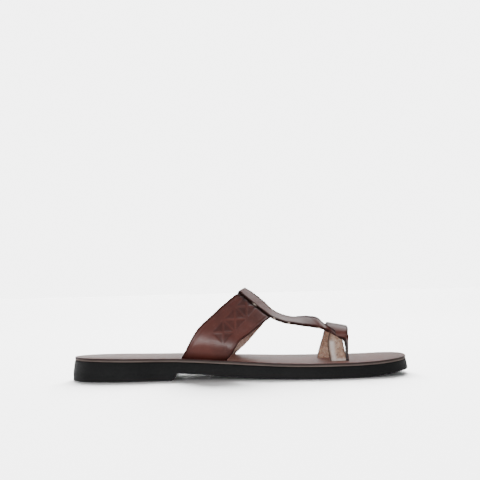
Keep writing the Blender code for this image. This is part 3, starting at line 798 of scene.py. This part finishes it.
def soft_room(name):
    """Light of the room on the sandal: a bright wall behind, a dim one before it, a dark ceiling,
    and the glow of the white floor from below."""
    world = bpy.data.worlds.new(name)
    world.use_nodes = True
    tree = world.node_tree
    place = add(tree, "ShaderNodeTexCoord")
    parts = add(tree, "ShaderNodeSeparateXYZ", {"Vector": (place, "Generated")})
    back = add(tree, "ShaderNodeMapRange", {"Value": (parts, "Y"), "From Min": -0.25, "From Max": 0.7}, interpolation_type="SMOOTHSTEP")
    toewards = add(tree, "ShaderNodeMapRange", {"Value": (parts, "X"), "From Min": -0.16, "From Max": 0.12})
    behind = add(tree, "ShaderNodeMix", {0: (toewards, "Result"), 6: grey(BACK_WALL_HEEL), 7: grey(BACK_WALL_TOE)}, data_type="RGBA")
    wall = add(tree, "ShaderNodeMix", {0: (back, "Result"), 6: grey(FRONT_WALL), 7: (behind, 2)}, data_type="RGBA")
    up = add(tree, "ShaderNodeMapRange", {"Value": (parts, "Z"), "From Min": 0.16, "From Max": 0.72}, interpolation_type="SMOOTHSTEP")
    above = add(tree, "ShaderNodeMix", {0: (up, "Result"), 6: (wall, 2), 7: grey(CEILING)}, data_type="RGBA")
    down = add(tree, "ShaderNodeMapRange", {"Value": (parts, "Z"), "From Min": 0.03, "From Max": -0.12}, interpolation_type="SMOOTHSTEP")
    room = add(tree, "ShaderNodeMix", {0: (down, "Result"), 6: (above, 2), 7: grey(FLOOR_GLOW)}, data_type="RGBA")
    tree.links.new(room.outputs[2], tree.nodes["Background"].inputs["Color"])
    return world


class SandalSizes(bpy.types.PropertyGroup):
    wall: bpy.props.FloatProperty(name="Leather", description="Thickness of the upper's leather", default=LEATHER, unit="LENGTH", precision=4)
    rim_round: bpy.props.FloatProperty(name="Edge rounding", description="Rounding of the leather's cut edges", default=0.45 * MM, unit="LENGTH", precision=5)
    tool_depth: bpy.props.FloatProperty(name="Tooling depth", description="Depth of the pressed squares in millimetres", default=0.3)
    tread_pitch: bpy.props.FloatProperty(name="Tread pitch", description="Distance from rib to rib under the sole", default=1.8 * MM, unit="LENGTH", precision=4)
    tread_depth: bpy.props.FloatProperty(name="Tread depth", description="Depth of the ribs under the sole", default=0.45 * MM, unit="LENGTH", precision=5)
    sole_rim: bpy.props.FloatProperty(name="Sole rim", description="Rounding of the rubber's rims", default=0.5 * MM, unit="LENGTH", precision=5)
    insole_rim: bpy.props.FloatProperty(name="Insole rim", description="Rounding of the insole's edge", default=0.55 * MM, unit="LENGTH", precision=5)


class SandalColours(bpy.types.PropertyGroup):
    grain_dark: bpy.props.FloatVectorProperty(name="Leather, dark", description="Darker dye of the upper", subtype="COLOR", size=4, default=hex_colour("#5E332D"), min=0, max=1)
    grain_light: bpy.props.FloatVectorProperty(name="Leather, light", description="Lighter dye of the upper", subtype="COLOR", size=4, default=hex_colour("#784138"), min=0, max=1)
    grain_worn: bpy.props.FloatVectorProperty(name="Leather, rubbed", description="Rubbed spots of the upper", subtype="COLOR", size=4, default=hex_colour("#8E5C52"), min=0, max=1)
    flesh_dark: bpy.props.FloatVectorProperty(name="Flesh side, dark", description="Darker blotches of the undyed inner side", subtype="COLOR", size=4, default=hex_colour("#A9826C"), min=0, max=1)
    flesh_light: bpy.props.FloatVectorProperty(name="Flesh side, light", description="Main colour of the undyed inner side", subtype="COLOR", size=4, default=hex_colour("#E2BEA6"), min=0, max=1)
    flesh_pale: bpy.props.FloatVectorProperty(name="Flesh side, fibres", description="Pale fibres of the undyed inner side", subtype="COLOR", size=4, default=hex_colour("#F2E6DA"), min=0, max=1)
    edge_dark: bpy.props.FloatVectorProperty(name="Cut edge, dark", description="Burnished cut edges", subtype="COLOR", size=4, default=hex_colour("#20100E"), min=0, max=1)
    edge_light: bpy.props.FloatVectorProperty(name="Cut edge, light", description="Fibres in the cut edges", subtype="COLOR", size=4, default=hex_colour("#4C322B"), min=0, max=1)
    insole_dark: bpy.props.FloatVectorProperty(name="Insole, dark", description="Darker clouds of the insole", subtype="COLOR", size=4, default=hex_colour("#62352C"), min=0, max=1)
    insole_light: bpy.props.FloatVectorProperty(name="Insole, light", description="Main colour of the insole", subtype="COLOR", size=4, default=hex_colour("#804A40"), min=0, max=1)
    insole_worn: bpy.props.FloatVectorProperty(name="Insole, mottled", description="Pale mottling of the insole", subtype="COLOR", size=4, default=hex_colour("#94665C"), min=0, max=1)
    rubber_dark: bpy.props.FloatVectorProperty(name="Rubber, dark", description="Rubber of the sole and heel", subtype="COLOR", size=4, default=hex_colour("#0C0C0D"), min=0, max=1)
    rubber_light: bpy.props.FloatVectorProperty(name="Rubber, bloom", description="Dusty bloom on the rubber", subtype="COLOR", size=4, default=hex_colour("#151516"), min=0, max=1)
    floor: bpy.props.FloatVectorProperty(name="Floor", description="Studio floor", subtype="COLOR", size=4, default=hex_colour("#F0F0F0"), min=0, max=1)


def upper_materials(colours):
    """The upper's grain, flesh side and cut edge, made once and shared by its pieces."""
    names = ("waxed brown cowhide", "undyed flesh side", "burnished cut edge")
    if names[0] not in bpy.data.materials:
        grain_leather(names[0], tuple(colours.grain_dark), tuple(colours.grain_light), tuple(colours.grain_worn), 0.42)
        flesh_leather(names[1], tuple(colours.flesh_dark), tuple(colours.flesh_light), tuple(colours.flesh_pale))
        edge_leather(names[2], tuple(colours.edge_dark), tuple(colours.edge_light))
    return [bpy.data.materials[name] for name in names]


def ripple(u, v, seed, height, length):
    """Slow unevenness of hand-cut leather, in millimetres."""
    return height * noise.noise(Vector((u / length, v / length, seed)))


class SANDAL_OT_sole(bpy.types.Operator):
    """Rubber sole with fine ribs across its tread"""
    bl_idname = "sandal.sole"
    bl_label = "Rubber sole"

    def execute(self, context):
        sizes, colours = context.scene.sandal_sizes, context.scene.sandal_colours
        outlines = [sole_outline(0.0, 12), sole_outline(-SIDE_LEAN, 12)]
        item = sole_slab("rubber_sole", outlines, [0.0, OUTSOLE_THICKNESS])
        ease_rims(item, sizes.sole_rim, 2)
        ribs = stations_between(HEEL_BREAST, HEEL_BACK + SOLE_LENGTH - 3 * MM, sizes.tread_pitch / 2)
        cut_across(item, ribs)
        valleys = {round(x, 5) for x in ribs[1::2]}
        for vert in item.data.vertices:
            x, z = vert.co.x, vert.co.z
            depth = max(0.0, 1 - z / OUTSOLE_THICKNESS)
            vert.co.z += rise_at(x) + thinning_at(x) * depth
            if z > sizes.sole_rim * 1.2:
                continue
            if x < HEEL_BREAST + 0.1 * MM:
                vert.co.z = rise_at(x) - PIECE_GAP
            elif round(x, 5) in valleys:
                vert.co.z += sizes.tread_depth
        item.data.materials.append(moulded_rubber("buffed black sole rubber", tuple(colours.rubber_dark), tuple(colours.rubber_light), 0.1))
        select_only(item)
        bpy.ops.object.shade_smooth_by_angle(angle=math.radians(30))
        finish_piece(item, "sole_rubber", "outsole")
        return {"FINISHED"}


class SANDAL_OT_heel(bpy.types.Operator):
    """Low rubber heel block with a sloping, rounded front"""
    bl_idname = "sandal.heel"
    bl_label = "Rubber heel"

    def execute(self, context):
        sizes, colours = context.scene.sandal_sizes, context.scene.sandal_colours
        outline = sole_outline(0.0, 12)
        item = sole_slab("rubber_heel", [outline, outline], [0.0, HEEL_BLOCK_HEIGHT])
        for vert in item.data.vertices:
            vert.co.z -= seat_fall_at(vert.co.x) * vert.co.z / HEEL_BLOCK_HEIGHT
        select_only(item)
        slope = math.radians(HEEL_BREAST_SLOPE)
        foot = HEEL_BREAST - (HEEL_BLOCK_HEIGHT - HEEL_SEAT_FALL) * math.tan(slope)
        tangent = HEEL_BREAST_ROUND * math.tan((math.pi / 2 - slope) / 2)
        centre = Vector((foot - tangent, 0, HEEL_BREAST_ROUND))
        steps = 10
        bpy.ops.object.mode_set(mode="EDIT")
        for step in range(steps):
            turn = mix(slope, math.pi / 2, step / steps)
            normal = Vector((math.cos(turn), 0, -math.sin(turn)))
            bpy.ops.mesh.select_all(action="SELECT")
            bpy.ops.mesh.bisect(plane_co=centre + normal * HEEL_BREAST_ROUND, plane_no=normal, use_fill=True, clear_outer=True)
        bpy.ops.mesh.select_all(action="SELECT")
        bpy.ops.mesh.normals_make_consistent(inside=False)
        bpy.ops.object.mode_set(mode="OBJECT")
        ribs = stations_between(HEEL_BACK + 4 * MM, foot - tangent, sizes.tread_pitch / 2)
        cut_across(item, ribs)
        valleys = {round(x, 5) for x in ribs[1::2]}
        for vert in item.data.vertices:
            if vert.co.z < 1e-6 and round(vert.co.x, 5) in valleys:
                vert.co.z += sizes.tread_depth
        item.data.materials.append(moulded_rubber("buffed black heel rubber", tuple(colours.rubber_dark), tuple(colours.rubber_light), 0.3))
        select_only(item)
        bpy.ops.object.shade_smooth_by_angle(angle=math.radians(30))
        finish_piece(item, "heel_rubber", "heel_block")
        return {"FINISHED"}


class SANDAL_OT_insole(bpy.types.Operator):
    """Leather insole with its burnished edge and the slits for the upper's feet"""
    bl_idname = "sandal.insole"
    bl_label = "Insole"

    def execute(self, context):
        sizes, colours = context.scene.sandal_sizes, context.scene.sandal_colours
        outline = sole_outline(-INSOLE_INSET, 12)
        item = sole_slab("leather_insole", [outline, outline], [INSOLE_UNDER, INSOLE_TOP])
        ease_rims(item, sizes.insole_rim, 3)
        cut_across(item, stations_between(HEEL_BREAST, HEEL_BACK + SOLE_LENGTH - 4 * MM, 4 * MM))
        up = item.data.attributes.new("up", "FLOAT", "POINT")
        for vert in item.data.vertices:
            up.data[vert.index].value = (vert.co.z - INSOLE_UNDER) / MM
            vert.co.z += rise_at(vert.co.x)
        top = insole_leather("glazed brown insole leather", tuple(colours.insole_dark), tuple(colours.insole_light), tuple(colours.insole_worn))
        side = insole_edge_leather("trimmed insole edge", hex_colour("#6C5E58"), hex_colour("#94857D"), hex_colour("#3E2A27"))
        item.data.materials.append(top)
        item.data.materials.append(side)
        for face in item.data.polygons:
            face.material_index = 0 if face.normal.z > 0.8 else 1
        feet = (
            (band_foot(-1, 0), band_foot(-1, 1), 1),
            (band_foot(1, 0), band_foot(1, 1), -1),
            (ring_point(*RING_ROWS[-1][:3]), ring_point(*RING_ROWS[-1][3:]), -1),
            (ring_point(*RING_ROWS[0][:3]), ring_point(*RING_ROWS[0][3:]), 1),
            (ring_point(TONGUE_ROWS[0][0], TONGUE_ROWS[0][2], 0), ring_point(TONGUE_ROWS[0][1], TONGUE_ROWS[0][2], 0), 1),
        )
        cutters = []
        for start, end, inward in feet:
            line = (end - start).to_2d()
            bpy.ops.object.select_all(action="DESELECT")
            bpy.ops.mesh.primitive_cube_add(size=1)
            cutter = bpy.context.object
            middle = (start + end) / 2 + Vector((-line.y, line.x, 0)).normalized() * inward * LEATHER / 2
            size = (line.length + 2 * SLIT_CLEARANCE, LEATHER + 2 * SLIT_CLEARANCE, SLIT_CUT_DEPTH, 1)
            cutter.data.transform(Matrix.Translation(middle) @ Matrix.Rotation(math.atan2(line.y, line.x), 4, "Z") @ Matrix.Diagonal(size))
            cutter.data.materials.append(side)
            cutters.append(cutter)
            cut = item.modifiers.new("slit", "BOOLEAN")
            cut.operation = "DIFFERENCE"
            cut.object = cutter
            cut.material_mode = "TRANSFER"
        apply_all(item)
        bpy.ops.object.shade_smooth_by_angle(angle=math.radians(35))
        for cutter in cutters:
            bpy.data.objects.remove(cutter, do_unlink=True)
        finish_piece(item, "insole_leather", "insole")
        return {"FINISHED"}


class SANDAL_OT_band(bpy.types.Operator):
    """Broad band over the instep, with tooled lines on its sides"""
    bl_idname = "sandal.band"
    bl_label = "Instep band"

    def execute(self, context):
        sizes = context.scene.sandal_sizes
        steps = 14
        grid = band_grid(steps, 70)
        tail = INSOLE_THICKNESS / MM
        strap_edge = grid_lengths(grid)[0][TAIL_STEPS + CROWN_ROWS[0] * steps]

        def relief(place, u, v, width, total):
            from_foot = min(u - tail, total - tail - u)
            lift = ripple(u, v, 1.7, 0.35, 19.0) + ripple(u, v, 4.1, 0.10, 6.0)
            lift *= min(1.0, max(0.0, from_foot / 6))
            lift -= 0.28 * soft(v - 3.6, 0.7) + 0.2 * soft(width - v - 2.2, 0.6)
            lift -= 0.25 * soft(min(v, width - v), 0.8)
            near = u < total / 2
            lift += 0.9 * soft(from_foot - 14.8, 3.2) * soft(width - v - 2.6, 2.2) * near
            press = pressed_quarters(place.x, place.z)
            # Dark line on the band just below the strap's near edge: partly a painted shadow of the strap, partly real
            # glue and dye marks
            stain = soft(max(0.0, strap_edge - u - 1.6), 2.6) * near
            # Painted shade at both feet, on both faces, where the band turns down into the insole
            soil = 0.6 * soft(max(0.0, from_foot), 6.0)
            stain = max(stain, soil)
            # Darker, duller patch within about 9 mm of the front edge, from some 16 mm below the strap's edge upwards,
            # on the near half
            patch = soft(max(0.0, width - v - 9.0), 3.5) * soft(max(0.0, strap_edge - u - 16.0), 5.0)
            stain = max(stain, 0.35 * patch * near)
            # Painted light: the far half's flesh side is made paler to lift it out of its shade, except within 1.5 mm
            # of the edges
            pale = 0.4 * (not near) * (min(v, width - v) > 1.5)
            return lift - sizes.tool_depth * press, press, stain, pale, soil

        colours = context.scene.sandal_colours
        item = leather_sheet("instep_band", grid, relief, upper_materials(colours), sizes.wall, sizes.rim_round)
        finish_piece(item, "upper_leather", "upper")
        return {"FINISHED"}


class SANDAL_OT_strap(bpy.types.Operator):
    """Strap lapped over the band's crown and run forward to the ring"""
    bl_idname = "sandal.strap"
    bl_label = "Instep strap"

    def execute(self, context):
        sizes, colours = context.scene.sandal_sizes, context.scene.sandal_colours
        grid = strap_grid(12, 26)

        def relief(place, u, v, width, total):
            lift = ripple(u, v, 7.3, 0.22, 9.0) + ripple(u, v, 2.9, 0.08, 3.0)
            lift += 0.3 * soft(v - 0.9, 0.9)
            lift -= 0.25 * soft(min(v, width - v), 0.7)
            pale = max(soft(place.x - forward, half) for forward, half in EDGE_SPOTS)
            # Darker along the far edge; pale only at the undyed spots on the near cut edge
            return lift, 0.0, 0.85 * soft(v, 2.8), pale * (width - v < 0.4), 0.0

        item = leather_sheet("instep_strap", grid, relief, upper_materials(colours), sizes.wall, sizes.rim_round)
        finish_piece(item, "upper_leather", "upper")
        return {"FINISHED"}


class SANDAL_OT_ring(bpy.types.Operator):
    """Ring for the big toe, with its narrow twisted medial leg"""
    bl_idname = "sandal.ring"
    bl_label = "Toe ring"

    def execute(self, context):
        sizes, colours = context.scene.sandal_sizes, context.scene.sandal_colours
        grid = ring_grid(10, 26)

        def relief(place, u, v, width, total):
            lift = ripple(u, v, 5.5, 0.22, 8.0)
            lift -= 0.25 * soft(min(v, width - v), 0.7)
            # Painted shade: darker and duller on the shoulder between the ring's top and its medial side
            return lift, 0.0, 0.35 * soft(u - 0.44 * total, 0.07 * total), 0.0, 0.0

        item = leather_sheet("toe_ring", grid, relief, upper_materials(colours), sizes.wall, sizes.rim_round)
        finish_piece(item, "upper_leather", "upper")
        return {"FINISHED"}


class SANDAL_OT_tongue(bpy.types.Operator):
    """Short tongue inside the ring's medial side, its flesh side outwards"""
    bl_idname = "sandal.tongue"
    bl_label = "Ring tongue"

    def execute(self, context):
        sizes, colours = context.scene.sandal_sizes, context.scene.sandal_colours
        grain, flesh, edge = upper_materials(colours)
        grid = tongue_grid(10, 22)
        tail = INSOLE_THICKNESS / MM

        def relief(place, u, v, width, total):
            lift = ripple(u, v, 3.3, 0.3, 7.0) + ripple(u, v, 8.8, 0.1, 2.0)
            lift -= 0.2 * soft(min(v, width - v), 0.7)
            # Painted highlight along the foot, where the leather bends towards the light above; and a paler strip some
            # 3 mm in from one long edge, on the upper part
            foot = soft(max(0.0, u - tail), 1.8)
            side = soft(v - 3.4, 2.0) * soft(max(0.0, u - 0.6 * total), 3.0)
            pale = min(1.0, max(side, foot) * (1.15 + 0.6 * noise.noise(Vector((u / 2.2, v / 1.5, 0.4)))))
            # Darker along both long edges
            soil = max(soft(v, 1.3), 0.8 * soft(width - v, 0.9))
            return lift, 0.0, 0.0, pale, soil

        item = leather_sheet("ring_tongue", grid, relief, [flesh, grain, edge], sizes.wall, sizes.rim_round)
        finish_piece(item, "upper_leather", "upper")
        return {"FINISHED"}


class SANDAL_OT_stage(bpy.types.Operator):
    """Pale floor, soft lights and the camera"""
    bl_idname = "sandal.stage"
    bl_label = "Studio"

    def execute(self, context):
        colours = context.scene.sandal_colours
        bpy.ops.object.select_all(action="DESELECT")
        bpy.ops.mesh.primitive_plane_add(size=18)
        floor = bpy.context.object
        floor.name = floor.data.name = "studio_floor"
        floor.data.materials.append(studio_floor("matt white paper", tuple(colours.floor)))
        floor.visible_diffuse = False
        floor.visible_glossy = False
        bpy.ops.mesh.primitive_uv_sphere_add(segments=48, ring_count=24, radius=8)
        backdrop = bpy.context.object
        backdrop.name = backdrop.data.name = "studio_backdrop"
        backdrop.data.materials.append(lit_backdrop("lit white backdrop", BACKDROP_GLOW))
        backdrop.visible_diffuse = False
        backdrop.visible_glossy = False
        backdrop.visible_transmission = False
        backdrop.visible_shadow = False

        context.scene.world = soft_room("soft white room")

        only_floor = bpy.data.collections.new("lit by the floor light")
        only_floor.objects.link(floor)
        sun_data = bpy.data.lights.new("floor_light", "SUN")
        sun_data.energy = FLOOR_LIGHT
        sun_data.angle = math.radians(44)
        sun = bpy.data.objects.new("floor_light", sun_data)
        context.scene.collection.objects.link(sun)
        sun.rotation_euler = (math.radians(-64), 0, 0)
        sun.light_linking.receiver_collection = only_floor

        # name, place, size and power of each soft box, all aimed at the sandal's middle
        boxes = (
            ("soft_box_front", (-0.35, -1.0, 0.05), 0.6, 4.6),
            ("soft_box_back", (0.3, 0.6, 1.1), 1.0, 8.0),
        )
        for name, place, size, power in boxes:
            data = bpy.data.lights.new(name, "AREA")
            data.shape = "DISK"
            data.size = size
            data.energy = power
            lamp = bpy.data.objects.new(name, data)
            context.scene.collection.objects.link(lamp)
            lamp.location = place
            lamp.rotation_euler = (Vector((0, 0, 0.03)) - Vector(place)).to_track_quat("-Z", "Y").to_euler()

        pitch, roll = math.atan(45.4 / 904.3), math.radians(1.41)
        ahead = Vector((0, math.cos(pitch), math.sin(pitch)))
        up = Vector((0, -math.sin(pitch), math.cos(pitch)))
        right = Vector((1, 0, 0)) * math.cos(roll) - up * math.sin(roll)
        up = up * math.cos(roll) + Vector((1, 0, 0)) * math.sin(roll)
        camera_data = bpy.data.cameras.new("camera")
        camera_data.sensor_width = 36
        camera_data.lens = 67.35
        camera_data.clip_end = 200
        camera = bpy.data.objects.new("camera", camera_data)
        context.scene.collection.objects.link(camera)
        place = Vector((2.44 * MM, MIDDLE_LINE - 760 * MM, 76 * MM))
        turn = Matrix((right, up, -ahead)).transposed().to_4x4()
        camera.matrix_world = Matrix.Translation(place) @ turn
        context.scene.camera = camera
        return {"FINISHED"}


class SANDAL_PT_panel(bpy.types.Panel):
    """Builds the sandal piece by piece"""
    bl_idname = "SANDAL_PT_panel"
    bl_label = "Toe ring sandal"
    bl_space_type = "VIEW_3D"
    bl_region_type = "UI"
    bl_category = "Sandal"

    def draw(self, context):
        for operator in OPERATORS:
            self.layout.operator(operator.bl_idname)
        for group in (context.scene.sandal_sizes, context.scene.sandal_colours):
            box = self.layout.box()
            for name in group.__annotations__:
                box.prop(group, name)


OPERATORS = (SANDAL_OT_sole, SANDAL_OT_heel, SANDAL_OT_insole, SANDAL_OT_band, SANDAL_OT_strap,
             SANDAL_OT_ring, SANDAL_OT_tongue, SANDAL_OT_stage)
CLASSES = (SandalSizes, SandalColours, *OPERATORS, SANDAL_PT_panel)


def register():
    for cls in CLASSES:
        bpy.utils.register_class(cls)
    bpy.types.Scene.sandal_sizes = bpy.props.PointerProperty(type=SandalSizes)
    bpy.types.Scene.sandal_colours = bpy.props.PointerProperty(type=SandalColours)


def unregister():
    del bpy.types.Scene.sandal_colours
    del bpy.types.Scene.sandal_sizes
    for cls in reversed(CLASSES):
        bpy.utils.unregister_class(cls)


def main():
    register()
    bpy.ops.sandal.sole()
    bpy.ops.sandal.heel()
    bpy.ops.sandal.insole()
    bpy.ops.sandal.band()
    bpy.ops.sandal.strap()
    bpy.ops.sandal.ring()
    bpy.ops.sandal.tongue()
    bpy.ops.sandal.stage()


if __name__ == "__main__":
    main()
